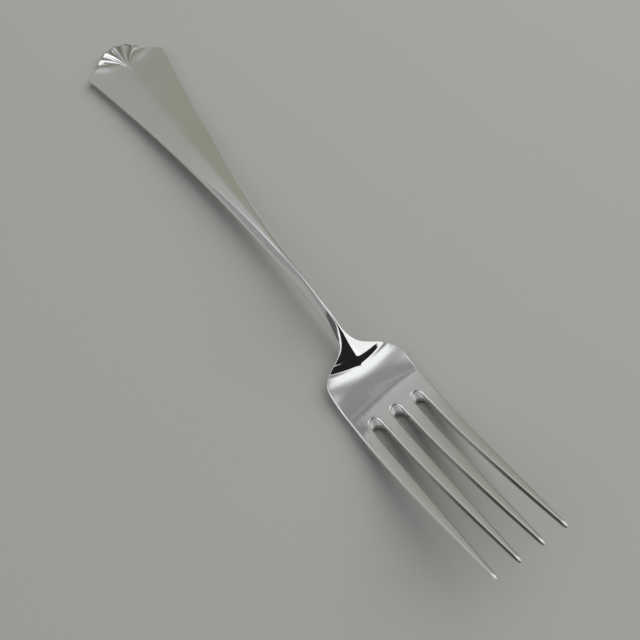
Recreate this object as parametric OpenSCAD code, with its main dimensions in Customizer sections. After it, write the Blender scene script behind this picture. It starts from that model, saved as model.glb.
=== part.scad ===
// Dinner fork: four tines, slim stem, tapered handle with a five-lobed shell at its end.
// It lies along X with the tines up. X = 0 is mid length and Z = 0 is the table.
// The fork is one forging: its named portions are separate solids that meet face to face.

/* [Overall] */
// Length from the top of the shell to the tine tips
length = 205; // [190:1:225]
// Height of the tine tips above the table
tip_height = 17.5; // [14:0.5:21]

/* [Handle] */
// Width across the two corners beside the shell
handle_w = 27.5; // [24:0.5:30]
// Thickness of the handle at its end
handle_t = 2.6; // [2.2:0.1:3]
// Rise of the middle of the handle above its edges
handle_crown = 0.4; // [0.1:0.1:0.7]
// Distance from the top of the shell back to the corners
corner_x = 9.4; // [9:0.1:10.5]
// Slope of the shoulders from the corners up to the shell
shoulder_slope = 0.5; // [0.3:0.05:0.6]
// Length at the end of the handle that lies flat on the table
rest_l = 6; // [4:0.5:10]

/* [Shell] */
// Length of the shell, from its top to the point where its lobes meet
shell_l = 15.2; // [14:0.1:17]
// Height of the lobes at their outer ends
shell_h = 3.6; // [3:0.1:4]
// Depth of the flutes between the lobes
flute_d = 0.9; // [0.5:0.1:1.1]
// Angle taken by one lobe near its outer end
lobe_angle = 17.5; // [16:0.5:19]
// How much shorter the outer lobes are than the middle one
lobe_fall = 2.3; // [1.5:0.1:3.5]
// Radius of the cove beside the shell, at its wide end
cove_r = 2.2; // [1.6:0.1:2.6]

/* [Stem] */
// Width of the stem at its slimmest
stem_w = 4.2; // [3.6:0.1:5.2]
// Thickness of the stem at its slimmest
stem_t = 4; // [3.4:0.1:4.8]
// Height of the underside of the stem above the table
stem_lift = 5.1; // [3:0.1:7]
// Distance from the shoulders back to the top of the arch
neck_l = 11.5; // [9:0.5:15]

/* [Head] */
// Distance from the middle of the shoulder curve to the tine tips
head_l = 65.5; // [60:0.5:72]
// Length over which the stem spreads into the shoulders
flare_l = 1.45; // [1.1:0.05:2]
// Thickness of the palm at the heel
palm_t = 2.8; // [2.2:0.1:3.2]
// Hollow across the middle of the palm
palm_dish = 0.4; // [0.1:0.1:0.7]
// Distance from the slot roots back to the heel
heel_back = 5; // [3:0.5:7]

/* [Tines] */
// Length of the slots between the tines
tine_l = 48.5; // [44:0.5:54]
// Spacing of the tines, centre to centre
tine_pitch = 6.7; // [6.4:0.05:7]
// Width of a slot at its root
slot_w = 3.1; // [2.6:0.1:3.4]
// Width of a tine at its tip
tip_w = 1; // [0.8:0.1:1.6]
// Thickness of a tine at its tip
tip_t = 1.9; // [1.4:0.1:2.2]
// Length of the rounded point at the end of each tine
nose_l = 1.8; // [1.5:0.1:4]
// Roundness of the bend from the heel into the tines
bend_r = 18; // [12:1:26]
// Angle of the filed ramp at the root of each slot
root_ramp = 45; // [30:1:50]

/* [Hidden] */
// Powers of the section curves: crisp top edges, the stem's crested top, flat and round undersides, and a tine
crisp = 20;
crest = 1.4;
flat_under = 8;
round_under = 4;
tine_edge = 5;
// Steepness of the flanks below a crisp edge and below the crest
flank_crisp = 2;
flank_crest = 1.3;
// Height of the widest line of a flat section, of the stem and of a tine, as a share of the thickness
waist = 0.6;
stem_waist = 0.4;
tine_waist = 0.35;
// Stations along the fork, from the top of the shell
shoulder_x = length - head_l;
neck_x = shoulder_x - neck_l;
root_x = length - tine_l;
heel_x = root_x - heel_back;
// Where handle, stem, palm and tines meet
stem_share = 0.75;
palm_back = 4;
split_on = 1.5;
stem_x = neck_x * stem_share;
palm_x = shoulder_x - palm_back;
split_x = root_x + slot_w + split_on;
// Where the taper ends, where the stem reaches its full thickness, and where its edges soften
taper_back = 3;
even_back = 10;
soft_back = 28;
taper_x = neck_x - taper_back;
even_x = neck_x - even_back;
soft_from_x = 25;
soft_to_x = neck_x - soft_back;
// Length over which the round stem opens into the flat palm, and where the hollow starts
open_l = 14;
dish_on = 12;
dish_l = 9;
dish_x = neck_x + dish_on;
// Fall of the neck: where it starts, where it is steepest, where it lies flat, and how it runs out
fall_back = 5.5;
fall_from_x = neck_x - fall_back;
fall_mid_x = mix(shoulder_x, heel_x, 1 / 6);
fall_to_x = mix(shoulder_x, heel_x, 0.725);
fall_power = 2.5;
// Swell of the neck above the shoulders: its height, its place, and its length towards stem and palm
swell_h = 1.3;
swell_back = 3;
swell_x = fall_mid_x - swell_back;
swell_l = 4.5;
swell_out = 2.5;
// Arch of the crest before the neck: its height, its place and its length
arch_h = 0.9;
arch_back = 11;
arch_x = neck_x - arch_back;
arch_l = 9;
// Softness of the ridge along the middle, as a share of the half width, and where the palm loses it
ridge_soft = 0.18;
palm_soft = 2;
ridge_back = 1;
ridge_x = fall_mid_x - ridge_back;
ridge_l = 3;
// Tines and head
tine_count = 4;
tine_w = tine_pitch - slot_w;
head_w = (tine_count - 1) * tine_pitch + tine_w;
// Blunt end of a tine: its size and its height against the full section
nose_share = 0.3;
nose_lift = 0.6;
// Rounding of the handle's end edge: in from the outline, what is left of that past the edge, and along it
end_in = 0.2;
end_left = 0.04;
end_l = 0.5;
// Length over which the sloping shoulders fade into square sections
gable_l = 20;
// Shell: lobes, steps across a lobe, and the half angle of the fan, which widens up to fan_reach and beyond
lobes = 5;
lobe_steps = 10;
fan_half = lobe_angle * lobes / 2;
fan_reach = 13;
fan_power = 0.8;
// Scallops in the shell's outline, height of its rim and of its point
scallop_d = 0.7;
scallop_share = 0.97;
rim_h = 1.6;
point_rise = 0.1;
point_h = handle_t + point_rise;
// Shares of a lobe's length where its flutes start, how far they take to deepen, and where its end rounds off
flute_from = 0.22;
flute_run = 0.4;
lobe_end = 0.84;
// Cove beside the shell: its height above the handle, narrow radius and length
cove_rise = 0.4;
cove_z = handle_t + handle_crown + cove_rise;
cove_tip_r = 0.35;
cove_l = 18;
// Distances from the shell's point where the cove starts, changes direction and ends
cove_from = 3.5;
cove_mid = 8;
cove_to = 15;
cove_at = [cove_from, cove_mid, cove_to];
// Reach of the cutters beyond the metal
clear = 10;
round_steps = 48;

// Small functions: clamp, smooth step, mix, and the rise of a hyperbola used for the tine bend
function clamp(v) = min(1, max(0, v));
function ease(v) = let (u = clamp(v)) u * u * (3 - 2 * u);
function mix(a, b, v) = a + (b - a) * v;
function bend(d) = sqrt(d * d + bend_r * bend_r) - bend_r;

// Half width of handle, stem and palm at a station
function half_w(x) =
    let (u = clamp(1 - (x - corner_x) / (taper_x - corner_x)))
    stem_w / 2 + (handle_w - stem_w) / 2 * u * u
    + (head_w - stem_w) / 2 / (1 + exp((shoulder_x - x) / flare_l));

// How far the neck has fallen from the arch to the palm: a rounded brow, then a longer run-out
function fall(x) =
    let (brow = (fall_mid_x - fall_from_x) / 2, run_out = (fall_to_x - fall_mid_x) / fall_power)
    let (down = clamp((x - fall_from_x) / (fall_mid_x - fall_from_x)))
    let (left = clamp((fall_to_x - x) / (fall_to_x - fall_mid_x)))
    (x < fall_mid_x ? brow * down * down : brow + run_out * (1 - pow(left, fall_power))) / (brow + run_out);

// Height of the underside above the table
function under_z(x) =
    stem_lift * ease((x - rest_l) / (neck_x - rest_l)) * (1 - fall(x))
    + (tip_height - tip_t) * bend(max(0, x - heel_x)) / bend(length - heel_x);

// Thickness on the centre line
function thick(x) =
    let (bar = mix(handle_t, stem_t, ease((x - rest_l) / (even_x - rest_l))))
    let (head = mix(palm_t, tip_t, clamp((x - heel_x) / (length - heel_x))))
    mix(bar, head, fall(x));

// How round the section is: 0 at the flat handle end and the palm, 1 along the stem
function roundness(x) = ease((x - soft_from_x) / (soft_to_x - soft_from_x)) * (1 - ease((x - neck_x) / open_l));

// Rise of the middle above the edges: crown of the handle, swell of the shoulders, hollow of the palm
function swell(x) = swell_h * exp(-pow((x - swell_x) / (x < swell_x ? swell_l : swell_out), 2));
function bow(x) =
    swell(x)
    + handle_crown * (1 - ease((x - soft_from_x) / (soft_to_x - soft_from_x)))
    - palm_dish * ease((x - dish_x) / dish_l) * (1 - ease((x - heel_x) / (split_x - heel_x)));

// Rise of the crest alone, which peaks just before the neck
function arch(x) = arch_h * exp(-pow((x - arch_x) / arch_l, 2));

// Share of the rise left at a fraction of the half width: a soft ridge on handle and neck, a curve on the palm
function ridge(x, f) =
    let (s = mix(ridge_soft, palm_soft, ease((x - ridge_x) / ridge_l)))
    1 - (sqrt(f * f + s * s) - s) / (sqrt(1 + s * s) - s);

// One edge of a section: height at a fraction of the half width
function edge_z(f, power, flank = 2) = pow(max(0, 1 - pow(abs(f), power)), 1 / flank);

// Fractions of the half width where the top and the underside are set out
top_f = [for (k = [-10:10]) sin(k * 9)];
under_f = [for (k = [5:-1:-5]) sin(k * 15)];

// A section of handle, stem or palm, with the middle pulled forward where the shoulders slope
function section(x, pull = 0, shrink = 0) =
    let (w = half_w(x) - shrink, t = thick(x) - swell(x), r = roundness(x), part = 1 - shrink / 2)
    let (top_power = 1 / mix(1 / crisp, 1 / crest, r))
    let (under_power = 1 / mix(1 / flat_under, 1 / round_under, r))
    let (low = t * mix(waist, stem_waist, r), middle = under_z(x) + low)
    let (flank = mix(flank_crisp, flank_crest, r))
    concat(
        [for (f = top_f) [x - pull * shoulder_slope * w * (1 - abs(f)), w * f,
            middle + (t + arch(x) - low) * part * edge_z(f, top_power, flank) + bow(x) * ridge(x, f)]],
        [for (f = under_f) [x - pull * shoulder_slope * w * (1 - abs(f)), w * f,
            middle - low * part * edge_z(f, under_power)]]);

// Skin over rows of points, closed at both ends
module loft(rows) {
    n = len(rows[0]);
    m = len(rows);
    polyhedron(
        points = [for (row = rows) each row],
        faces = concat(
            [[for (k = [n - 1:-1:0]) k]],
            [for (j = [0:m - 2]) for (k = [0:n - 1])
                [j * n + k, j * n + (k + 1) % n, (j + 1) * n + (k + 1) % n, (j + 1) * n + k]],
            [[for (k = [0:n - 1]) (m - 1) * n + k]]));
}

// Stations run from the top of the shell, and the finished fork is centred on its length
module centred() {
    translate([-length / 2, 0, 0]) children();
}

// Outline of the shell, scalloped lobe by lobe: s runs from -1 to 1 across the lobes
function lobe_u(s) = 2 * abs(s * lobes / 2 - round(s * lobes / 2));
function valley(s) = 1 - edge_z(lobe_u(s) * scallop_share, 2);
function fan_r(s) = shell_l - lobe_fall * s * s - scallop_d * valley(s);
// Place in plan at a radius from the shell's point: the fan opens wider as it reaches out
function fan_at(r, s) =
    let (a = s * fan_half * pow(r / fan_reach, fan_power))
    [shell_l - r * cos(a), r * sin(a)];
// Height of the shell at a fraction of its reach: the lobes rise from the point and round off at their ends
function fan_z(f, s) =
    let (back = mix(point_h, shell_h, f) - flute_d * ease((f - flute_from) / flute_run) * valley(s))
    mix(rim_h, back, edge_z(clamp((f - lobe_end) / (1 - lobe_end)), 2));
// Fractions of the reach where the shell is set out, with its side lines
reach = [0.08, 0.2, 0.32, 0.44, 0.56, 0.68, 0.78, lobe_end, 0.89, 0.94, 0.975, 1];
function side_line(s) = [for (f = reach) fan_at(f * fan_r(s), s)];

// Plan of the sector that the shell fills
module fan_plan() {
    hand = side_line(1);
    last = len(reach) - 1;
    wide = hand[last][1];
    polygon(concat(
        [[shell_l, 0]],
        hand,
        [[-clear, wide], [-clear, -wide]],
        [for (j = [last:-1:0]) [hand[j][0], -hand[j][1]]]));
}

// Cutter for the cove along one side of the shell: cones end to end along the side line, wider outwards
module cove() {
    for (j = [0:len(cove_at) - 2]) {
        from = fan_at(cove_at[j], 1);
        step = fan_at(cove_at[j + 1], 1) - from;
        translate([from[0], from[1], cove_z])
            rotate([0, 0, atan2(step[1], step[0])])
                rotate([0, 90, 0])
                    cylinder(h = norm(step), r1 = mix(cove_tip_r, cove_r, cove_at[j] / cove_l),
                        r2 = mix(cove_tip_r, cove_r, cove_at[j + 1] / cove_l), $fn = round_steps);
    }
}

// The tapered handle, with a cove along both sides of the shell
module handle() {
    steps = 26;
    span = stem_x - corner_x;
    rows = concat(
        [section(corner_x, 1, end_in), section(corner_x + end_l, 1, end_left)],
        [for (j = [1:steps]) let (x = corner_x + span * j / steps)
            section(x, 1 - ease((x - corner_x) / gable_l))]);
    color("silver") centred()
        difference() {
            loft(rows);
            translate([0, 0, -clear]) linear_extrude(height = 3 * clear) fan_plan();
            cove();
            mirror([0, 1, 0]) cove();
        }
}

// The fan-shaped shell
module shell() {
    n = lobes * lobe_steps;
    m = len(reach);
    w = n + 1;
    spread = [for (k = [0:n]) 2 * k / n - 1];
    top = [for (f = reach) for (s = spread) concat(fan_at(f * fan_r(s), s), fan_z(f, s))];
    rim = [for (s = spread) concat(fan_at(fan_r(s), s), 0)];
    foot = [for (s = [-1, 1]) for (p = side_line(s)) concat(p, 0)];
    tips = [[shell_l, 0, point_h], [shell_l, 0, 0], [foot[m - 1][0], 0, 0]];
    // Places of the rim, of the two side feet, of the two tips and of the underside's hub in the list of points
    under = m * w;
    left = under + w;
    right = left + m;
    high = right + m;
    low = high + 1;
    hub = low + 1;
    color("gainsboro") centred()
        polyhedron(
            points = concat(top, rim, foot, tips),
            faces = concat(
                [for (k = [0:n - 1]) [high, k, k + 1]],
                [for (j = [0:m - 2]) for (k = [0:n - 1])
                    [j * w + k, (j + 1) * w + k, (j + 1) * w + k + 1, j * w + k + 1]],
                [for (k = [0:n - 1]) [(m - 1) * w + k, under + k, under + k + 1, (m - 1) * w + k + 1]],
                [[high, low, left, 0], [low, high, n, right]],
                [for (j = [0:m - 2]) [j * w, left + j, left + j + 1, (j + 1) * w]],
                [for (j = [0:m - 2]) [right + j, j * w + n, (j + 1) * w + n, right + j + 1]],
                [[low, right, left], [right + m - 2, right + m - 1, hub, left + m - 1, left + m - 2]],
                [for (j = [0:m - 3]) [right + j, right + j + 1, left + j + 1, left + j]],
                [for (k = [0:n - 1]) [hub, under + k + 1, under + k]]));
}

// The slim arched stem
module stem() {
    steps = 20;
    color("silver") centred()
        loft([for (j = [0:steps]) section(stem_x + (palm_x - stem_x) * j / steps)]);
}

// The palm: shoulders, heel and the roots of the three slots
module palm() {
    steps = 30;
    color("silver") centred()
        difference() {
            loft([for (j = [0:steps]) section(palm_x + (split_x - palm_x) * j / steps)]);
            for (k = [-1:1])
                translate([root_x, k * tine_pitch, thick(root_x) + under_z(root_x)])
                    rotate([0, -root_ramp, 0])
                        translate([slot_w / 2 * cos(root_ramp), 0, -clear])
                            linear_extrude(height = 2 * clear) {
                                circle(d = slot_w, $fn = round_steps);
                                translate([0, -slot_w / 2]) square([2 * clear, slot_w]);
                            }
        }
}

// Half width of a tine and its section, drawn to a blunt rounded point
function tine_half(x) = let (v = (x - root_x) / tine_l) mix(tine_w, tip_w, v * v) / 2;
function tine_section(x, y, nose) =
    let (t = thick(x), w = tine_half(x) * nose)
    let (middle = under_z(x) + t - t * (1 - tine_waist) * mix(nose_lift, 1, nose))
    concat(
        [for (f = [for (k = [-5:5]) sin(k * 18)])
            [x, y + w * f, middle + t * (1 - tine_waist) * nose * edge_z(f, tine_edge)]],
        [for (f = [for (k = [4:-1:-4]) sin(k * 18)])
            [x, y + w * f, middle - t * tine_waist * nose * edge_z(f, tine_edge)]]);

// One tine, counted from the right as seen from the handle
module tine(number) {
    steps = 18;
    y = (number - (tine_count + 1) / 2) * tine_pitch;
    body_l = length - split_x - nose_l;
    color("silver") centred()
        loft(concat(
            [for (j = [0:steps]) tine_section(split_x + body_l * j / steps, y, 1)],
            [for (v = [0.3, 0.55, 0.75, 0.9, 1])
                tine_section(length - nose_l * (1 - v), y, mix(nose_share, 1, edge_z(v, 2)))]));
}
module tine_1() tine(1);
module tine_2() tine(2);
module tine_3() tine(3);
module tine_4() tine(4);

handle();
shell();
stem();
palm();
tine_1();
tine_2();
tine_3();
tine_4();
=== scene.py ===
import math

import bmesh
import bpy
import numpy as np
from mathutils import Matrix, Vector


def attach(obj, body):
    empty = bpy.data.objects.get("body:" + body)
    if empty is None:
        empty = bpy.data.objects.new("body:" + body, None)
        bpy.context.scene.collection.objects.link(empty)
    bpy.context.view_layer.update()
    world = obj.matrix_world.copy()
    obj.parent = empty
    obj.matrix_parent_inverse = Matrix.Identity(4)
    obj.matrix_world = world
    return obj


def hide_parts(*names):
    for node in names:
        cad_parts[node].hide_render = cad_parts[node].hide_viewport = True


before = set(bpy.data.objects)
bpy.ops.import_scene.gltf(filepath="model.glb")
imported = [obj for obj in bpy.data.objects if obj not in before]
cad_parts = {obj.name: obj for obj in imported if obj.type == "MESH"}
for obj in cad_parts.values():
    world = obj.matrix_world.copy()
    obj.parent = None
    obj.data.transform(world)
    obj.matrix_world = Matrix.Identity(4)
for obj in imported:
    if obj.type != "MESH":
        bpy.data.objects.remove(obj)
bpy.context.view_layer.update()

# Handle
# The flat tapered end of the fork, of plated metal forged in one with the rest.
# Its top is filed to a shallow roof, whose two rims run together as the crest of the stem.

# The fork is one forging, so its long profile is written once, here, where the handle first needs it.
# Lengths are in millimetres, and stations run from the top of the shell to the tips of the tines.
MM = 0.001
length = 205.0
handle_w = 27.2
handle_t = 2.6
handle_crown = 0.4
corner_x = 9.4
corner_soft = 0.35
corner_soft_l = 1.1
taper_x = 125.0
rest_l = 6.0
even_x = 118.0
stem_w = 4.2
stem_t = 4.0
stem_lift = 5.1
neck_x = 128.0
shoulder_x = 139.5
flare_l = 1.45
head_w = 23.7
palm_t = 2.8
heel_x = 151.5
bend_r = 18.0
tip_height = 17.5
tip_t = 1.9
# The neck falls from the arch at fall_from, is steepest at fall_mid and lies flat at fall_to
fall_from = 122.5
fall_mid = 141.5
fall_to = 148.2
fall_power = 2.5


def ease(v):
    v = np.clip(v, 0, 1)
    return v * v * (3 - 2 * v)


def mix(a, b, v):
    return a + (b - a) * v


def half_width(x):
    u = np.clip(1 - (x - corner_x) / (taper_x - corner_x), 0, None)
    flare = (head_w - stem_w) / 2 / (1 + np.exp((shoulder_x - x) / flare_l))
    soft_corner = corner_soft * np.exp(-np.clip(x - corner_x, 0, None) / corner_soft_l)
    return stem_w / 2 + (handle_w - stem_w) / 2 * u * u + flare - soft_corner


def fall(x):
    convex = (fall_mid - fall_from) / 2
    concave = (fall_to - fall_mid) / fall_power
    before = convex * np.clip((x - fall_from) / (fall_mid - fall_from), 0, 1) ** 2
    after = concave * np.clip(1 - (x - fall_mid) / (fall_to - fall_mid), 0, 1) ** fall_power
    return np.where(x < fall_mid, before, convex + concave - after) / (convex + concave)


def underside(x):
    arch = stem_lift * ease((x - rest_l) / (neck_x - rest_l)) * (1 - fall(x))
    reach = np.clip(x - heel_x, 0, None)
    full = math.hypot(length - heel_x, bend_r) - bend_r
    return arch + (tip_height - tip_t) * (np.hypot(reach, bend_r) - bend_r) / full


def thickness(x):
    bar = mix(handle_t, stem_t, ease((x - rest_l) / (even_x - rest_l)))
    head = mix(palm_t, tip_t, np.clip((x - heel_x) / (length - heel_x), 0, 1))
    return mix(bar, head, fall(x))


# The section is flat at the shell, round along the stem and flat again on the palm
round_from = 25.0
round_l = 75.0
open_l = 14.0


def roundness(x):
    return ease((x - round_from) / round_l) * (1 - ease((x - neck_x) / open_l))


def flatness(x):
    return ease((x - neck_x) / open_l)


# The rims of the top face close in to a crest along the stem and part again at the shoulders
rim_in = 0.06
rim_close = 0.9
rim_close_from = 50.0
rim_close_l = 68.0
rim_part_from = 131.0
rim_part_l = 9.0


def rim_half(x):
    closing = ease((x - rim_close_from) / rim_close_l)
    parting = ease((x - rim_part_from) / rim_part_l)
    return (half_width(x) - rim_in * (1 - flatness(x))) * (1 - rim_close * (closing - parting))


run_steps = 600


def share_of_run(slopes):
    """Stations along a line given by its slopes, with the share of its whole rise reached at each."""
    at, slope = np.array(slopes).T
    run = np.linspace(at[0], at[-1], run_steps)
    step = np.interp((run[1:] + run[:-1]) / 2, at, slope)
    return run, np.concatenate([[0], np.cumsum(step)]) / np.sum(step)


# The hollow of the palm, with the slopes (station, slope) by which it runs out before the slots
dish_d = 0.445
dish_from = 139.0
dish_l = 8.0
dish_run, dish_rise = share_of_run([(147, 0), (152.5, 1), (155, 1), (158, 0)])


def dish(x):
    return dish_d * ease((x - dish_from) / dish_l) * (1 - np.interp(x, dish_run, dish_rise))


# The shoulders of the palm curl up a little beside the foot of the neck
cup_h = 0.65
cup_half = 11.0
cup_from = 138.0
cup_l = 5.0
cup_fade_from = 143.0
cup_fade_l = 9.0


def cup(x, y):
    rise = cup_h * ease((x - cup_from) / cup_l) * (1 - ease((x - cup_fade_from) / cup_fade_l))
    return rise * (y / cup_half) ** 2


# The crest of the stem swells a little near the top of its arch
swell_h = 0.9
swell_x = 117.0
swell_l = 9.0


def middle_z(x):
    crown = handle_crown * (1 - ease((x - round_from) / round_l))
    swell = swell_h * np.exp(-((x - swell_x) / swell_l) ** 2)
    return underside(x) + thickness(x) + crown + swell - dish(x)


# Crest line down the neck as (station, slope): steep at the waist, easing on the tongue, a step at its foot
neck_slopes = [
    (118, 0.0), (122, 0.04), (126, 0.13), (130, 0.27), (132, 0.4), (133.4, 0.54), (134.6, 0.54),
    (136, 0.46), (137.5, 0.36), (139, 0.3), (140.4, 0.28), (141, 0.85), (141.9, 0.85),
    (142.5, 0.36), (143.2, 0.3), (144.2, 0.22), (147, 0.03)]
neck_run, neck_share = share_of_run(neck_slopes)


def crest_z(x):
    start = neck_run[0]
    end = neck_run[-1]
    neck = mix(middle_z(start), middle_z(end), np.interp(x, neck_run, neck_share))
    return np.where((x > start) & (x < end), neck, middle_z(x))


# Pitch of the handle's roof at the shell and at the stem, and where it fades out
roof_shell = 0.035
roof_stem = 0.11
roof_from = 15.0
roof_l = 85.0
roof_fade_from = 118.0
roof_fade_l = 12.0
ridge_soft = 0.15
# The steeper roof of the neck ends as a tongue, at a step that is bowed across the palm
tongue_tilt = 0.26
tongue_drop = 0.65
tongue_in = 6.0
tongue_x = 140.2
tongue_out = 3.2
foot_bow = 0.02
bow_from = 134.0
bow_to = 144.0
bow_l = 4.0


def top_z(x, y):
    """Top face: a shallow roof on the handle, a steeper one on the neck, a hollow on the palm."""
    across = np.minimum(np.abs(y) / rim_half(x), 1)
    whole = np.sqrt(1 + ridge_soft ** 2) - ridge_soft
    ridge = (np.sqrt(across ** 2 + ridge_soft ** 2) - ridge_soft) / whole
    pitch = mix(roof_shell, roof_stem, ease((x - roof_from) / roof_l))
    handle_roof = rim_half(x) * pitch * (1 - ease((x - roof_fade_from) / roof_fade_l)) * ridge
    bowed = ease((x - bow_from) / bow_l) * (1 - ease((x - bow_to) / bow_l))
    bent = x + foot_bow * y ** 2 * bowed
    fold = np.sqrt(y ** 2 + ridge_soft ** 2) - ridge_soft
    tongue = tongue_drop * (1 - np.exp(-tongue_tilt * fold / tongue_drop))
    tongue = tongue * ease((x - neck_x) / tongue_in) * (1 - ease((bent - tongue_x) / tongue_out))
    return crest_z(bent) - handle_roof - tongue + cup(x, y)


def arc(before, corner, after, steps):
    t = np.linspace(0, 1, steps)[None, :, None]
    return before[:, None] * (1 - t) ** 2 + corner[:, None] * 2 * t * (1 - t) + after[:, None] * t * t


small = 1e-9


def toward(p, q, distance):
    step = q - p
    return p + step * (distance / np.maximum(np.linalg.norm(step, axis=1), small))[:, None]


# Side of a section: the share of its height at which it is widest, and how far its corners are rounded
waist_handle = 0.5
waist_stem = 0.3
waist_palm = 0.72
foot_in = 0.9
foot_in_palm = 0.8
flank_bulge = 0.3
rim_sharp = 0.05
rim_round = 0.5
rim_round_from = 60.0
rim_round_l = 55.0
side_share = 0.77
waist_round = 0.35
waist_round_stem = 0.9
foot_round = 0.4
foot_round_stem = 0.9
foot_round_palm = 0.5
foot_run = 1.3
most_of_side = 0.45
most_of_width = 0.9
rim_steps = 7
waist_steps = 6


def edge_curve(x):
    """Side of a section from the end of the top face to the start of the underside, as (y, z) rows."""
    x = np.asarray(x, float)
    w = half_width(x)
    low = underside(x)
    r = roundness(x)
    flat = flatness(x)
    m = rim_half(x)
    rim = np.stack([m, top_z(x, m)], 1)
    waist_share = mix(mix(waist_handle, waist_stem, r), waist_palm, flat)
    waist = np.stack([w, low + (rim[:, 1] - low) * waist_share], 1)
    foot = np.stack([w - mix(foot_in, foot_in_palm, flat), low], 1)
    flank = np.linalg.norm(waist - rim, axis=1)
    under = np.linalg.norm(foot - waist, axis=1)
    out = np.stack([rim[:, 1] - waist[:, 1], waist[:, 0] - rim[:, 0]], 1) / flank[:, None]
    bulge = (rim + waist) / 2 + out * (flank_bulge * r * (1 - flat))[:, None]
    rim_cut = mix(mix(rim_sharp, rim_round, ease((x - rim_round_from) / rim_round_l)), rim_round, flat)
    rim_cut = np.minimum(rim_cut, most_of_width * m)
    side_cut = np.minimum(rim_cut * side_share, most_of_side * flank)
    waist_cut = mix(waist_round, waist_round_stem, r)
    waist_cut = np.minimum(waist_cut, most_of_side * np.minimum(flank, under))
    foot_cut = mix(mix(foot_round, foot_round_stem, r), foot_round_palm, flat)
    foot_cut = np.minimum(foot_cut, most_of_side * under)
    inner = np.stack([m - rim_cut, top_z(x, m - rim_cut)], 1)
    foot_end = np.minimum(foot_cut * foot_run, most_of_width * foot[:, 0])
    last = foot - np.stack([foot_end, np.zeros_like(low)], 1)
    flank_top = toward(rim, bulge, side_cut)
    flank_end = toward(waist, bulge, waist_cut)
    return np.concatenate([
        arc(inner, rim, flank_top, rim_steps),
        arc(flank_top, bulge, flank_end, rim_steps)[:, 1:-1],
        arc(flank_end, waist, toward(waist, foot, waist_cut), waist_steps),
        arc(toward(foot, waist, foot_cut), foot, last, waist_steps)], 1)


def grid_faces(grid, wrap=False):
    rows, cols = grid.shape[:2]
    index = np.arange(rows * cols).reshape(rows, cols)
    if wrap:
        index = np.column_stack([index, index[:, :1]])
    faces = np.stack([index[:-1, :-1], index[:-1, 1:], index[1:, 1:], index[1:, :-1]], -1)
    return grid.reshape(-1, 3), faces.reshape(-1, 4)


def section_loop(x, columns):
    """Closed sections at stations x. Columns run from -1 to 1 over the top face and the underside."""
    x = np.asarray(x, float)
    side = edge_curve(x)
    right = np.concatenate([x[:, None, None] * np.ones((1, side.shape[1], 1)), side], 2)
    left = right[:, ::-1] * np.array([1, -1, 1])
    y = right[:, :1, 1] * columns[None, 1:-1]
    top = np.stack([x[:, None] + 0 * y, y, top_z(x[:, None], y)], 2)
    y = -right[:, -1:, 1] * columns[None, 1:-1]
    foot = np.stack([x[:, None] + 0 * y, y, underside(x)[:, None] + 0 * y], 2)
    return np.concatenate([left, top, right, foot], 1)


def finish_piece(piece, node):
    """Gives a piece its metal and puts it in place of its CAD node."""
    bpy.context.scene.collection.objects.link(piece)
    piece.data.materials.clear()
    piece.data.materials.append(silver)
    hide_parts(node)
    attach(piece, "root")


merge_gap = 0.002 * MM
weld_sliver = 0.0005 * MM
crease = math.radians(42)


def close_mesh(mesh, sliver, gap=None):
    """Merges points where a gap is given, drops slivers, closes open ends and turns all faces outwards."""
    work = bmesh.new()
    work.from_mesh(mesh)
    if gap:
        bmesh.ops.remove_doubles(work, verts=work.verts, dist=gap)
    bmesh.ops.dissolve_degenerate(work, edges=work.edges, dist=sliver)
    bmesh.ops.holes_fill(work, edges=[e for e in work.edges if e.is_boundary], sides=0)
    bmesh.ops.recalc_face_normals(work, faces=work.faces)
    for face in work.faces:
        face.smooth = True
    work.to_mesh(mesh)
    work.free()
    mesh.set_sharp_from_angle(angle=crease)


def weld(name, node, patches, shade_and_wear=None):
    """Joins the patches of a piece. The optional function gives attributes of painted shade and of filed
    metal at its points.
    """
    points = []
    faces = []
    count = 0
    for verts, quads in patches:
        points.append(verts)
        faces.append(quads + count)
        count += len(verts)
    middle = np.array([length / 2, 0, 0])
    points = (np.concatenate(points) - middle) * MM
    mesh = bpy.data.meshes.new(name)
    mesh.from_pydata(points.tolist(), [], np.concatenate(faces).tolist())
    close_mesh(mesh, weld_sliver, merge_gap)
    if shade_and_wear:
        spots = np.array([v.co for v in mesh.vertices]) / MM + middle
        for label, values in shade_and_wear(*spots.T).items():
            mesh.attributes.new(label, "FLOAT", "POINT").data.foreach_set("value", values)
    finish_piece(bpy.data.objects.new(name, mesh), node)


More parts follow.
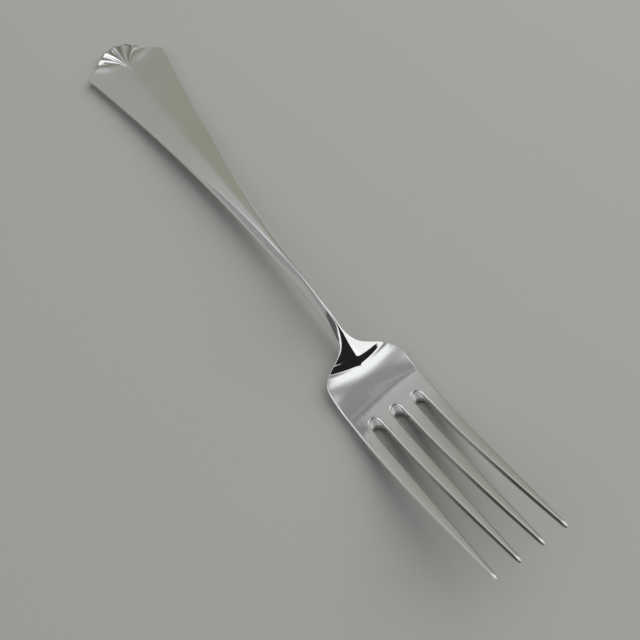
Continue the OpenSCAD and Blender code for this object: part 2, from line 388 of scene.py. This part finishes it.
class Wire:
    """A socket of a shader or geometry tree that Python's operators can work on."""

    def __init__(self, tree, socket=None):
        self.tree = tree
        self.socket = socket

    def plug(self, slot, value):
        if isinstance(value, Wire):
            self.tree.links.new(value.socket, slot)
        else:
            slot.default_value = value

    def node(self, kind, settings=None, sockets=None, out=0):
        made = self.tree.nodes.new(kind)
        for key, value in (settings or {}).items():
            setattr(made, key, value)
        for key, value in (sockets or {}).items():
            self.plug(made.inputs[key], value)
        return Wire(self.tree, made.outputs[out] if made.outputs else None)

    def math(self, operation, *values, clamp=False):
        sockets = dict(enumerate(values))
        return self.node("ShaderNodeMath", {"operation": operation, "use_clamp": clamp}, sockets)

    def __add__(self, other):
        return self.math("ADD", self, other)

    def __radd__(self, other):
        return self.math("ADD", other, self)

    def __sub__(self, other):
        return self.math("SUBTRACT", self, other)

    def __rsub__(self, other):
        return self.math("SUBTRACT", other, self)

    def __mul__(self, other):
        return self.math("MULTIPLY", self, other)

    def __rmul__(self, other):
        return self.math("MULTIPLY", other, self)

    def __truediv__(self, other):
        return self.math("DIVIDE", self, other)

    def __rtruediv__(self, other):
        return self.math("DIVIDE", other, self)

    def __pow__(self, other):
        return self.math("POWER", self, other)

    def __abs__(self):
        return self.math("ABSOLUTE", self)

    def clamp(self):
        return self.math("ADD", self, 0.0, clamp=True)

    def smooth(self, low, high):
        sockets = {"Value": self, "From Min": low, "From Max": high}
        return self.node("ShaderNodeMapRange", {"interpolation_type": "SMOOTHSTEP"}, sockets)

    def blend(self, factor, first, second):
        """Mix of two colours."""
        sockets = {"Factor": factor, 6: first, 7: second}
        return self.node("ShaderNodeMix", {"data_type": "RGBA"}, sockets, 2)


# Polished silver with scratches from use and smudges, painted shade on the shell's walls, in the slots and
# between the tines, darker grooves in the shell, and duller metal where it was filed
clean_silver = (0.93, 0.93, 0.915, 1)
smudged_silver = (0.9, 0.895, 0.87, 1)
painted_dark_silver = (0.14, 0.12, 0.09, 1)
fine_share = 0.3
coarse_share = 2.0
streak_detail = 2.0
streak_rough = 0.6
scratch_strength = 0.1
scratch_d = 0.02 * MM
smudge_scale = 55.0
smudge_detail = 3.0
smudge_over = (0.35, 0.7)
polish = 0.03
smudge_rough = 0.04
darkened_rough = 0.2
filed_rough = 0.4
filed_dull = 0.35
silver = bpy.data.materials.new("polished_silver")
silver.use_nodes = True
silver.node_tree.nodes.clear()
metal = Wire(silver.node_tree)
place = metal.node("ShaderNodeTexCoord", out="Object")


def streaks(turn, fine, stretch):
    """Noise drawn out into lines, turned about the vertical. There are about fine of them to a metre."""
    lay = metal.node("ShaderNodeMapping", None, {
        "Vector": place, "Rotation": (0, 0, math.radians(turn)), "Scale": (fine / stretch, fine, fine)})
    return metal.node("ShaderNodeTexNoise", None, {
        "Vector": lay, "Scale": 1.0, "Detail": streak_detail, "Roughness": streak_rough}, "Fac")


hairlines = streaks(turn=12, fine=5200, stretch=40) + streaks(turn=-38, fine=6100, stretch=30)
hairlines = hairlines + streaks(turn=71, fine=4700, stretch=35)
scratches = fine_share * hairlines + coarse_share * streaks(turn=25, fine=1400, stretch=8)
smudge = metal.node("ShaderNodeTexNoise", None, {
    "Vector": place, "Scale": smudge_scale, "Detail": smudge_detail}, "Fac")
# Mask of painted shade on the shell's walls, in the slots and between the tines, and of the darker grooves of
# the shell
painted_shade_and_grooves = metal.node("ShaderNodeAttribute", {"attribute_name": "painted_shade_and_grooves"}, out="Fac")
filed = metal.node("ShaderNodeAttribute", {"attribute_name": "filed"}, out="Fac")
tone = metal.blend(smudge.smooth(*smudge_over), clean_silver, smudged_silver)
tone = metal.blend(painted_shade_and_grooves, tone, painted_dark_silver)
roughness = polish + smudge_rough * smudge + darkened_rough * painted_shade_and_grooves + filed_rough * filed
bump = metal.node("ShaderNodeBump", None, {
    "Strength": scratch_strength, "Distance": scratch_d, "Height": scratches})
shader = metal.node("ShaderNodeBsdfPrincipled", None, {
    "Base Color": tone, "Metallic": 1 - filed_dull * filed, "Roughness": roughness, "Normal": bump})
metal.node("ShaderNodeOutputMaterial", None, {"Surface": shader})

# The shell's side line, in polar form about its point: the fan opens wider as it reaches out
shell_l = 15.2
shoulder_slope = 0.5
fan_angle = math.radians(38)
fan_reach = 13.0
fan_power = 0.8


def fan_side(r):
    turn = fan_angle * (r / fan_reach) ** fan_power
    return shell_l - r * np.cos(turn), r * np.sin(turn)


def shoulder_gap(r):
    """How far the side line at r lies short of the sloping shoulder."""
    x, y = fan_side(r)
    return x - (corner_x - shoulder_slope * (half_width(corner_x) - y))


least_reach = 8.0
most_reach = 14.0
reach_tries = 2001
tries = np.linspace(least_reach, most_reach, reach_tries)
side_reach = tries[np.argmin(np.abs(shoulder_gap(tries)))]

# The end is rounded over by end_cut, and a cove with a low bead beside it follows the shell
end_cut = 0.3
end_l = 9.0
end_steps = np.array([0, 0.02, 0.07, 0.15, 0.25, 0.35])
end_rest = 0.06
end_rows = 34
cove_d = 0.3
cove_from = 5.0
cove_l = 6.5
cove_w = 0.3
cove_w_more = 0.9
cove_w_from = 3.5
cove_w_l = 8.0
bead_h = 0.3
bead_in = 3.0
bead_w = 1.6
bead_from = 4.0
bead_l = 5.0
wall_points = 4
half_steps = 25
half_columns = np.linspace(0, 1, half_steps)


def end_block(sign):
    """One side of the handle's end, from the sloping shoulder to the point of the shell."""
    u = np.concatenate([end_steps / end_l, np.linspace(end_rest, 1, end_rows)])
    r = side_reach * (1 - u)
    x0, y0 = fan_side(r)
    x1 = mix(corner_x, shell_l, u)
    w1 = half_width(x1)
    side = edge_curve(x1)

    def along(y):
        return x0[:, None] + (x1 - x0)[:, None] * (y - y0[:, None]) / (w1 - y0)[:, None]

    def across(outer):
        return y0[:, None] + (outer - y0[:, None]) * half_columns[None]

    def end_z(x, y):
        from_shell = np.hypot(x - x0[:, None], y - y0[:, None])
        width = cove_w + cove_w_more * ease((r - cove_w_from) / cove_w_l)[:, None]
        depth = cove_d * ease((r - cove_from) / cove_l)[:, None]
        bead = bead_h * np.exp(-((from_shell - bead_in) / bead_w) ** 2)
        bead = bead * ease((r - bead_from) / bead_l)[:, None]
        inside = np.clip((u * end_l)[:, None], 0, end_cut)
        rounded = end_cut - np.sqrt(end_cut ** 2 - (end_cut - inside) ** 2)
        return top_z(x, y) + bead - depth * ease(1 - from_shell / width) - rounded

    y = across(side[:, :1, 0])
    top = np.stack([along(y), y, end_z(along(y), y)], 2)
    y = side[:, :, 0]
    wall = np.stack([along(y), y, np.minimum(side[:, :, 1], end_z(along(y), y))], 2)
    y = across(side[:, -1:, 0])
    foot = np.stack([along(y), y, underside(along(y))], 2)
    inner = mix(top[:, :1], foot[:, :1], np.linspace(0, 1, wall_points)[None, :, None])
    return [grid_faces(g * np.array([1, sign, 1])) for g in (top, wall, foot, inner)]


stem_x = 96.0
end_zone = 30.0
end_zone_rows = 24
taper_rows = 100
handle_columns = np.concatenate([-half_columns[:0:-1], half_columns])
handle_rows = np.concatenate([
    np.linspace(shell_l, end_zone, end_zone_rows), np.linspace(end_zone, stem_x, taper_rows)[1:]])
weld("silver_handle", "handle", [
    *end_block(1), *end_block(-1), grid_faces(section_loop(handle_rows, handle_columns), True)])

# Shell
# The fluted fan at the end of the handle, of the same metal, struck in the die and chased.
# Five lobes spread from one point, with darker grooves between them. Painted shade lies on the walls at the
# shell's rim.
tree_sliver = 0.0001 * MM


def named_inputs(tree, sizes):
    for label in sizes:
        tree.interface.new_socket(label, in_out="INPUT", socket_type="NodeSocketFloat")
    tree.interface.new_socket("Finish", in_out="INPUT", socket_type="NodeSocketMaterial")
    tree.interface.new_socket("Geometry", in_out="OUTPUT", socket_type="NodeSocketGeometry")
    given = Wire(tree).node("NodeGroupInput").socket.node
    return {label: Wire(tree, given.outputs[label]) for label in [*sizes, "Finish"]}


def position_parts(tree):
    """The three parts of a point's place, as wires."""
    spot = Wire(tree).node("GeometryNodeInputPosition")
    parts = Wire(tree).node("ShaderNodeSeparateXYZ", None, {"Vector": spot}).socket.node
    return [Wire(tree, part) for part in parts.outputs]


def end_tree(tree, shape, finish):
    """Closes a tree: merged instances with smooth faces and the piece's metal."""
    last = Wire(tree)
    shape = last.node("GeometryNodeSetShadeSmooth", None, {"Geometry": shape})
    shape = last.node("GeometryNodeRealizeInstances", None, {"Geometry": shape})
    shape = last.node("GeometryNodeSetMaterial", None, {"Geometry": shape, "Material": finish})
    last.node("NodeGroupOutput", None, {"Geometry": shape})


def run_tree(name, tree, values):
    """Runs a geometry tree on an empty mesh with the given inputs and keeps the result as a plain mesh."""
    carrier = bpy.data.objects.new(name, bpy.data.meshes.new(name))
    bpy.context.scene.collection.objects.link(carrier)
    modifier = carrier.modifiers.new(name, "NODES")
    modifier.node_group = tree
    for item in tree.interface.items_tree:
        if item.in_out == "INPUT" and item.name in values:
            modifier[item.identifier] = values[item.name]
    graph = bpy.context.evaluated_depsgraph_get()
    mesh = bpy.data.meshes.new_from_object(carrier.evaluated_get(graph))
    carrier.modifiers.remove(modifier)
    bpy.data.objects.remove(carrier)
    close_mesh(mesh, tree_sliver)
    mesh.name = name
    return bpy.data.objects.new(name, mesh)


shell_sizes = {
    "Reach": shell_l, "Lobe fall": 2.3, "Scallop": 0.7, "Lobes": 5.0,
    "Flute depth": 0.8, "Flute from": 0.16, "Flute run": 0.7, "Dome": 1.3,
    "Point height": 2.7, "Lobe height": 3.6, "Rim height": 1.6, "Round from": 0.84,
    "Fan angle": fan_angle, "Fan reach": fan_reach, "Fan power": fan_power, "Middle": length / 2}
lobe_rows = 66
rim_rows = 4
lobe_columns = 100
wall_columns = 2
row_crowding = 1.5
notch_share = 0.97
# Darkening of the grooves, and painted shade on the walls at the shell's rim
groove_dark = 0.5
groove_power = 3
wall_shade = 0.35
shell_tree = bpy.data.node_groups.new("shell_fan", "GeometryNodeTree")
fan = Wire(shell_tree)
size = named_inputs(shell_tree, shell_sizes)
sheet_rows = lobe_rows + rim_rows
sheet_columns = lobe_columns + 2 * wall_columns
sheet = fan.node("GeometryNodeMeshGrid", None, {
    "Size X": 2.0, "Size Y": 2.0, "Vertices X": sheet_rows + 1, "Vertices Y": sheet_columns + 1})
# Along the sheet: lobe from point to end, then the rim wall. Across it: the lobes, with a wall at each hand
sheet_x, sheet_y = position_parts(shell_tree)[:2]
along = (sheet_x + 1) * (0.5 * sheet_rows / lobe_rows)
across = sheet_y * (sheet_columns / lobe_columns)
reach = 1 - (1 - along.clamp()) ** row_crowding
lobe = fan.math("MINIMUM", fan.math("MAXIMUM", across, -1.0), 1.0)
end_wall = ((along - 1) * (lobe_rows / rim_rows)).clamp()
side_wall = ((abs(across) - 1) * (lobe_columns / (2 * wall_columns))).clamp()
stand = (1 - end_wall) * (1 - side_wall)
spread = lobe * size["Lobes"] * 0.5
offset = 2 * abs(spread - fan.math("ROUND", spread))
notch = 1 - (1 - (offset * notch_share) ** 2) ** 0.5
valley = 0.5 - 0.5 * fan.math("COSINE", offset * math.pi)
radius = reach * (size["Reach"] - size["Lobe fall"] * lobe ** 2 - size["Scallop"] * notch)
turn = lobe * size["Fan angle"] * (radius / size["Fan reach"]) ** size["Fan power"]
fluted = ((reach - size["Flute from"]) / size["Flute run"]).clamp()
deepening = fluted * fluted * (3 - 2 * fluted)
back = size["Point height"] + (size["Lobe height"] - size["Point height"]) * reach
back = back - size["Flute depth"] * deepening * valley - size["Dome"] * (lobe * reach) ** 2
ending = ((reach - size["Round from"]) / (1 - size["Round from"])).clamp()
height = size["Rim height"] + (back - size["Rim height"]) * (1 - ending ** 2) ** 0.5
flat_x = (size["Reach"] - radius * fan.math("COSINE", turn) - size["Middle"]) * MM
flat_y = radius * fan.math("SINE", turn) * MM
above = fan.node("ShaderNodeCombineXYZ", None, {"X": flat_x, "Y": flat_y, "Z": height * stand * MM})
below = fan.node("ShaderNodeCombineXYZ", None, {"X": flat_x, "Y": flat_y, "Z": 0.0})
# Darker in the grooves, and painted shade on the walls at the shell's rim
darkening = (groove_dark * deepening * valley ** groove_power + wall_shade * (1 - stand)).clamp()
sheet = fan.node("GeometryNodeStoreNamedAttribute", {"data_type": "FLOAT", "domain": "POINT"}, {
    "Geometry": sheet, "Name": "painted_shade_and_grooves", "Value": darkening})
face = fan.node("GeometryNodeSetPosition", None, {"Geometry": sheet, "Position": above})
base = fan.node("GeometryNodeSetPosition", None, {"Geometry": sheet, "Position": below})
base = fan.node("GeometryNodeFlipFaces", None, {"Mesh": base})
joined = fan.node("GeometryNodeJoinGeometry", None, {"Geometry": face})
fan.plug(joined.socket.node.inputs["Geometry"], base)
closed = fan.node("GeometryNodeMergeByDistance", None, {"Geometry": joined, "Distance": tree_sliver})
end_tree(shell_tree, closed, size["Finish"])
finish_piece(run_tree("silver_shell", shell_tree, {**shell_sizes, "Finish": silver}), "shell")

# Stem
# The slim arched bar between handle and head, drawn down from the handle's metal and rounded underneath.
# Its two flanks meet in one crest, which carries the long highlight.
palm_x = 135.5
stem_steps = 110
stem_rows = np.linspace(stem_x, palm_x, stem_steps)
weld("silver_stem", "stem", [grid_faces(section_loop(stem_rows, handle_columns), True)])

# Palm
# The hollowed plate between stem and tines, of the same metal. Its shoulders are filed to a flowing line,
# and three slots are sawn into it, each with a root that is filed to a ramp.
root_x = 156.5
split_x = 161.1
tine_pitch = 6.7
slots = [-tine_pitch, 0.0, tine_pitch]
slot_half = 1.55
slot_arc = 1.9
slot_steps = 17
collar = 0.5
collar_drop = 0.3
collar_steps = 7
ramp_l = 1.9
ramp_d = 1.7
ramp_more = 0.3
ramp_full = ramp_l + ramp_more
ramp_steps = 5
band_lead = 1.2
band_columns = 9
steps_in = 10
steps_on = 12
neck_end = 146.0
neck_rows = 90
plate_rows = 24
same = 0.001
bands_x = root_x - collar - band_lead
arc_end = root_x + slot_arc
grow = slot_half + collar
slot_turns = np.radians(np.linspace(-90, 90, slot_steps))
bands_side = edge_curve(np.array([bands_x]))[0]
reach_y = bands_side[0, 0]
foot_y = bands_side[-1, 0]
# Bands across the palm: a tine, a slot, a tine and so on, each with its columns
bands = []
low = -reach_y
for centre in slots:
    bands.append(("tine", np.linspace(low, centre - grow, band_columns)))
    bands.append(("slot", centre + grow * np.sin(slot_turns)))
    low = centre + grow
bands.append(("tine", np.linspace(low, reach_y, band_columns)))
palm_columns = np.concatenate([b[1][:-1] for b in bands] + [[reach_y]]) / reach_y
palm_rows = np.concatenate([
    np.linspace(palm_x, neck_end, neck_rows), np.linspace(neck_end, bands_x, plate_rows)[1:]])
rows_in = np.linspace(0, 1, steps_in + 1)
rows_on = np.linspace(0, 1, steps_on + 1)
ramp_fade = np.concatenate([rows_in, 1 - rows_on[1:]])
band_x = np.concatenate([mix(bands_x, arc_end, rows_in), mix(arc_end, split_x, rows_on[1:])])
side = edge_curve(band_x)
right = np.concatenate([band_x[:, None, None] * np.ones((1, side.shape[1], 1)), side], 2)
patches = [grid_faces(section_loop(palm_rows, palm_columns), True)]
patches += [grid_faces(right), grid_faces(right * np.array([1, -1, 1]))]


def tine_band(number, y):
    """Top and underside of the palm where a tine grows from it."""
    x = band_x[:, None] + 0 * y[None]
    top = np.stack([x, y[None] + 0 * x, top_z(x, y[None])], 2)
    share = np.ones_like(y)
    if number == 0:
        share = np.linspace(0, 1, len(y))
    if number == len(bands) - 1:
        share = np.linspace(1, 0, len(y))
    foot = y * np.where(np.abs(y) > reach_y - same, foot_y / reach_y, 1)
    x = x + ramp_full * ramp_fade[:, None] * share[None]
    return [grid_faces(top), grid_faces(np.stack([x, foot[None] + 0 * x, underside(x)], 2))]


def slot_band(centre, y):
    """Palm in front of a slot, and the slot's wall with its rounded collar and filed ramp."""
    outer = arc_end - (slot_arc + collar) * np.cos(slot_turns)
    x = mix(bands_x, outer[None], rows_in[:, None])
    top = np.stack([x, y[None] + 0 * x, top_z(x, y[None])], 2)
    x = mix(bands_x, outer[None] + ramp_full, rows_in[:, None])
    foot = np.stack([x, y[None] + 0 * x, underside(x)], 2)
    straight = mix(arc_end, split_x, rows_on)
    path_x = np.concatenate([straight[:0:-1], arc_end - slot_arc * np.cos(slot_turns), straight[1:]])
    path_y = np.concatenate([-np.ones(steps_on), np.sin(slot_turns), np.ones(steps_on)])
    normal_x = np.concatenate([np.zeros(steps_on), -np.cos(slot_turns), np.zeros(steps_on)])
    fade = np.concatenate([1 - rows_on[:0:-1], np.ones(len(slot_turns)), 1 - rows_on[1:]])
    quarter = np.radians(np.linspace(0, 90, collar_steps))
    thick = float(thickness(np.array(root_x)))
    slope = np.linspace(0, 1, ramp_steps)[1:]
    inset = np.concatenate([collar * (1 - np.sin(quarter)), 0 * slope, collar * (1 - np.cos(quarter))])
    depth = np.concatenate([
        collar_drop * (1 - np.cos(quarter)), mix(collar_drop, ramp_d, slope),
        thick - collar_drop * (1 - np.sin(quarter))]) / thick
    slide = np.concatenate([0 * quarter, ramp_l * slope, ramp_full + 0 * quarter])
    x = path_x[:, None] + inset[None] * normal_x[:, None] + slide[None] * fade[:, None]
    y = centre + path_y[:, None] * (slot_half + inset[None])
    wall = np.stack([x, y, mix(top_z(x, y), underside(x), depth[None])], 2)
    return [grid_faces(top), grid_faces(foot), grid_faces(wall)]


for number, (kind, y) in enumerate(bands):
    patches += tine_band(number, y) if kind == "tine" else slot_band(slots[number // 2], y)

# Painted shade and wear in the slots, as pairs (from, over): depths below the top face, but heights above
# the underside for the lower end of the shade. Painted shade lies deep on the walls, bare filing on the ramps
shade_most = 0.85
shade_in = (1.4, 0.4)
shade_out = (0.5, 0.3)
filed_in = (0.2, 0.15)
filed_out = (1.6, 0.2)
slot_margin = 0.3


def slot_shade_and_filing(x, y, z):
    """Painted shade deep on the walls of the slots, and the dull metal of the filed ramps."""
    depth = top_z(x, y) - z
    from_below = depth - thickness(x) + shade_out[0]
    walls = ease((depth - shade_in[0]) / shade_in[1]) * (1 - ease(from_below / shade_out[1]))
    ramp = ease((depth - filed_in[0]) / filed_in[1]) * (1 - ease((depth - filed_out[0]) / filed_out[1]))
    inside = np.min([np.abs(y - centre) for centre in slots], axis=0) < slot_half + slot_margin
    inside = inside * (x > root_x)
    return {"painted_shade_and_grooves": shade_most * walls * inside, "filed": ramp * inside * (x < arc_end + ramp_l)}


weld("silver_palm", "palm", patches, slot_shade_and_filing)

# Tines
# Four slender prongs of the same metal, left by the slots. Each tapers to a narrow blunt tip with a small
# filed bevel on top, and all its long edges are rounded over by polishing.
tine_count = 4
tine_sizes = {
    "Across": 0.0, "From": split_x, "Length": length, "Root": root_x, "Heel": heel_x,
    "Root width": 3.6, "Tip width": 1.0, "Heel thickness": palm_t, "Tip thickness": tip_t,
    "Tip height": tip_height, "Bend": bend_r, "Nose": 1.8, "Nose share": 0.3, "Bevel": 0.7, "Tuck": 0.3,
    "Rim": 0.5, "Root share": 0.14, "Tip share": 0.46, "Shade left": 0.9, "Shade right": 0.9}
corner = 0.28
corner_steps = 8
tine_steps = 241
bevel_power = 1.4
most_of_half = 0.85
share_gain = 1.5
wall_from = (0.75, 0.9)
wall_top = (0.93, 0.995)
wall_along = (172.0, 192.0)
tine_tree = bpy.data.node_groups.new("tine", "GeometryNodeTree")
prong = Wire(tine_tree)
size = named_inputs(tine_tree, tine_sizes)
start = prong.node("ShaderNodeCombineXYZ", None, {"X": size["From"]})
end = prong.node("ShaderNodeCombineXYZ", None, {"X": size["Length"]})
line = prong.node("GeometryNodeCurvePrimitiveLine", None, {"Start": start, "End": end})
line = prong.node("GeometryNodeResampleCurve", None, {"Curve": line, "Count": tine_steps})
block = prong.node("GeometryNodeCurvePrimitiveQuadrilateral", None, {"Width": 2.0, "Height": 2.0})
block = prong.node("GeometryNodeFilletCurve", {"mode": "POLY"}, {
    "Curve": block, "Count": corner_steps, "Radius": corner})
bar = prong.node("GeometryNodeCurveToMesh", None, {
    "Curve": line, "Profile Curve": block, "Fill Caps": True})
# The bar is a block of half size 1, whose points are moved to the tine's own width, height and bend
station, sideways, upright = position_parts(tine_tree)
taper = ((station - size["Root"]) / (size["Length"] - size["Root"])) ** 2
half = (size["Root width"] + (size["Tip width"] - size["Root width"]) * taper) * 0.5
run = station - size["Heel"]
whole = size["Length"] - size["Heel"]
bow = (run ** 2 + size["Bend"] ** 2) ** 0.5 - size["Bend"]
full_bow = (whole ** 2 + size["Bend"] ** 2) ** 0.5 - size["Bend"]
under = (size["Tip height"] - size["Tip thickness"]) * bow / full_bow
thick = size["Heel thickness"] + (size["Tip thickness"] - size["Heel thickness"]) * run / whole
nose = ((station - size["Length"]) / size["Nose"] + 1).clamp()
rounding = (1 - nose ** 2) ** 0.5
half = half * (size["Nose share"] + (1 - size["Nose share"]) * rounding)
roof = under + thick - size["Bevel"] * nose ** bevel_power
belly = under + size["Tuck"] * nose ** 2
rim = prong.math("MINIMUM", size["Rim"], half * most_of_half)
across = prong.math("SIGN", sideways) * (half - rim * (1 - abs(sideways)) / corner)
rim_gain = (taper ** 0.5 * share_gain).clamp()
share = size["Root share"] + (size["Tip share"] - size["Root share"]) * rim_gain
rise = prong.math("SIGN", upright) * (0.5 - share * (1 - abs(upright)) / corner)
up = (roof + belly) * 0.5 + (roof - belly) * rise
shaped = prong.node("ShaderNodeCombineXYZ", None, {
    "X": (station - length / 2) * MM, "Y": (size["Across"] + across) * MM, "Z": up * MM})
hand = prong.math("GREATER_THAN", sideways, 0.0)
# Painted shade on the walls of the tine, growing towards the tip
wall = abs(sideways).smooth(*wall_from) * (1 - upright.smooth(*wall_top)) * station.smooth(*wall_along)
darkening = wall * (size["Shade left"] + (size["Shade right"] - size["Shade left"]) * hand)
bar = prong.node("GeometryNodeStoreNamedAttribute", {"data_type": "FLOAT", "domain": "POINT"}, {
    "Geometry": bar, "Name": "painted_shade_and_grooves", "Value": darkening})
bar = prong.node("GeometryNodeSetPosition", None, {"Geometry": bar, "Position": shaped})
bar = prong.node("GeometryNodeMergeByDistance", None, {"Geometry": bar, "Distance": merge_gap})
end_tree(tine_tree, bar, size["Finish"])
# Painted shade lies on the walls between the tines, so the outer walls of the first and the last tine get
# none
for number in range(1, tine_count + 1):
    values = {**tine_sizes, "Across": (number - (tine_count + 1) / 2) * tine_pitch, "Finish": silver}
    if number == 1:
        values["Shade left"] = 0.0
    if number == tine_count:
        values["Shade right"] = 0.0
    finish_piece(run_tree(f"silver_tine_{number}", tine_tree, values), f"tine_{number}")

# Table
# A plain pale table top with a matt face, on which the fork lies with its tines up.
# It touches the end of the handle and the heel of the palm.
# Half a side of it is given in metres
table_half = 3.0
table_colour = (0.36, 0.365, 0.345, 1)
table_rough = 0.8
table_corners = [(-1, -1), (1, -1), (1, 1), (-1, 1)]
table_mesh = bpy.data.meshes.new("table_top")
table_mesh.from_pydata([(x * table_half, y * table_half, 0) for x, y in table_corners], [], [(0, 1, 2, 3)])
table_top = bpy.data.objects.new("table_top", table_mesh)
bpy.context.scene.collection.objects.link(table_top)
table_finish = bpy.data.materials.new("table_finish")
table_finish.use_nodes = True
table_finish.node_tree.nodes.clear()
matt = Wire(table_finish.node_tree)
matt_shader = matt.node("ShaderNodeBsdfPrincipled", None, {
    "Base Color": table_colour, "Roughness": table_rough})
matt.node("ShaderNodeOutputMaterial", None, {"Surface": matt_shader})
table_mesh.materials.append(table_finish)

# Studio
# Pale surroundings, seen in the metal, with a bright panel on the right and a dark side around the viewer.
# A broad soft lamp gives the shadow. Each pair of numbers is a range over which a tone comes in or goes.
to_viewer = (0.822, -0.569, 0.0)
to_right = (0.569, 0.822, 0.0)
to_top = (0.0, 0.0, 1.0)
world = bpy.data.worlds.new("studio")
bpy.context.scene.world = world
world.use_nodes = True
world.node_tree.nodes.clear()
sky = Wire(world.node_tree)
aim = sky.node("ShaderNodeTexCoord", out="Generated")
near, wide, tall = [
    sky.node("ShaderNodeVectorMath", {"operation": "DOT_PRODUCT"}, {0: aim, 1: axis}, "Value")
    for axis in (to_viewer, to_right, to_top)]
left = 0 - wide

# Dark side, with an edge that wanders from right to left
edge_right = 0.13
edge_right_over = (0.05, 0.5)
edge_middle = 0.06
edge_middle_over = (-0.05, 0.05)
edge_left = 0.15
edge_left_over = (0.0, 0.12)
edge_outer = 0.19
edge_outer_over = (0.7, 0.82)
shade_over = (-0.02, 0.03)
dim_left = 0.1
dim_fall = 0.085
dim_over = (-0.4, 0.0)
edge = edge_right * wide.smooth(*edge_right_over) - edge_middle * wide.smooth(*edge_middle_over)
edge = edge + edge_left * left.smooth(*edge_left_over) + edge_outer * left.smooth(*edge_outer_over)
shade = (near - edge).smooth(*shade_over)
dim_side = dim_left - dim_fall * wide.smooth(*dim_over)

# Bright panel on the right
panel_level = 0.7
panel_lean = 0.35
panel_lean_over = (0.12, 0.42)
panel_near = (-0.38, 0.1)
panel_from = (-0.35, -0.05)
panel_to = (0.82, 0.9)
panel_tall = (0.38, 0.55)
panel = (near + panel_lean * wide.smooth(*panel_lean_over)).smooth(*panel_near)
panel = panel * wide.smooth(*panel_from) * (1 - wide.smooth(*panel_to)) * tall.smooth(*panel_tall)

# Dimmer zone on the right, with a narrow ribbon of light along its far edge
gloom_level = 0.22
ribbon_level = 0.08
band_lean = 0.45
gloom_wide = (-0.25, -0.05)
gloom_from = (-0.53, -0.515)
ribbon_from = (-0.503, -0.497)
ribbon_to = (-0.482, -0.476)
veer = near - band_lean * wide
gloom = wide.smooth(*gloom_wide) * veer.smooth(*gloom_from)
ribbon = veer.smooth(*ribbon_from) * (1 - veer.smooth(*ribbon_to))

# Light wall on the left, a fill light on the near left and a pale room behind the viewer
pale_level = 0.6
pale_from = (0.36, 0.5)
pale_to = (0.75, 0.88)
pale_near = (-0.35, -0.12)
fill_level = 0.9
fill_near = (0.08, 0.16)
fill_end = (0.72, 0.8)
fill_from = (0.3, 0.42)
fill_to = (0.68, 0.78)
fill_tall = (0.4, 0.5)
room_level = 0.5
room_near = (0.8, 0.88)
pale_wall = left.smooth(*pale_from) * (1 - left.smooth(*pale_to)) * near.smooth(*pale_near)
fill = near.smooth(*fill_near) * (1 - near.smooth(*fill_end)) * left.smooth(*fill_from)
fill = fill * (1 - left.smooth(*fill_to) * (1 - tall.smooth(*fill_tall)))
room = near.smooth(*room_near)

# Far side: grey, darker towards the back and on the far left, and warmer at the back
far_middle = 0.72
far_slope = 0.55
far_most = 0.48
far_left_fall = 0.4
far_left_over = (0.65, 0.9)
cool_light = (0.98, 1.0, 1.02, 1)
warm_light = (1.0, 0.995, 0.84, 1)
warm_share = 0.5
warm_back = (-0.79, -0.75)
warm_far = (-0.7, -0.5)
far_side = sky.math("MINIMUM", far_middle + far_slope * near, far_most)
far_side = far_side * (1 - far_left_fall * left.smooth(*far_left_over))
open_side = far_side - gloom * (gloom_level - ribbon_level * ribbon)
open_side = open_side + panel_level * panel + pale_level * pale_wall
level = open_side * (1 - shade) + dim_side * shade + fill_level * fill + room_level * room
warm = 1 - warm_share * near.smooth(*warm_back) - warm_share * near.smooth(*warm_far)
cast = sky.blend(warm, cool_light, warm_light)
glow = sky.node("ShaderNodeVectorMath", {"operation": "SCALE"}, {0: cast, "Scale": level})
backdrop = sky.node("ShaderNodeBackground", None, {"Color": glow, "Strength": 1.0})
sky.node("ShaderNodeOutputWorld", None, {"Surface": backdrop})

# The lamp's size, place and aim are in metres
lamp_size = 1.9
lamp_energy = 15
lamp_at = (-0.15, 0.75, 0.85)
lamp_aim = (0.02, 0, 0)
lamp_light = bpy.data.lights.new("soft_lamp", "AREA")
lamp_light.shape = "DISK"
lamp_light.size = lamp_size
lamp_light.energy = lamp_energy
lamp = bpy.data.objects.new("soft_lamp", lamp_light)
bpy.context.scene.collection.objects.link(lamp)
lamp.location = lamp_at
lamp.rotation_euler = (Vector(lamp_aim) - lamp.location).to_track_quat("-Z", "Y").to_euler()
lamp.visible_glossy = False

# Camera
# The photograph's viewpoint: above the tines on the near side, looking back along the fork.
# Its place and turn were fitted to the outline of the fork in the photograph.
camera_at = (109.659, -61.4057, 190.84)
yaw = math.radians(-55.29)
pitch = math.radians(60.72)
roll = math.radians(-0.70)
camera = bpy.data.cameras.new("camera")
camera.sensor_width = 36
camera.lens = 45
camera.clip_start = 0.01
viewer = bpy.data.objects.new("camera", camera)
bpy.context.scene.collection.objects.link(viewer)
forward = Vector((math.cos(pitch) * math.sin(yaw), math.cos(pitch) * math.cos(yaw), -math.sin(pitch)))
level_right = Vector((math.cos(yaw), -math.sin(yaw), 0))
down = forward.cross(level_right)
right_axis = level_right * math.cos(roll) + down * math.sin(roll)
down_axis = down * math.cos(roll) - level_right * math.sin(roll)
turned = Matrix((right_axis, -down_axis, -forward)).transposed().to_4x4()
viewer.matrix_world = Matrix.Translation(Vector(camera_at) * MM) @ turned
bpy.context.scene.camera = viewer
bpy.context.scene.view_settings.view_transform = "Standard"
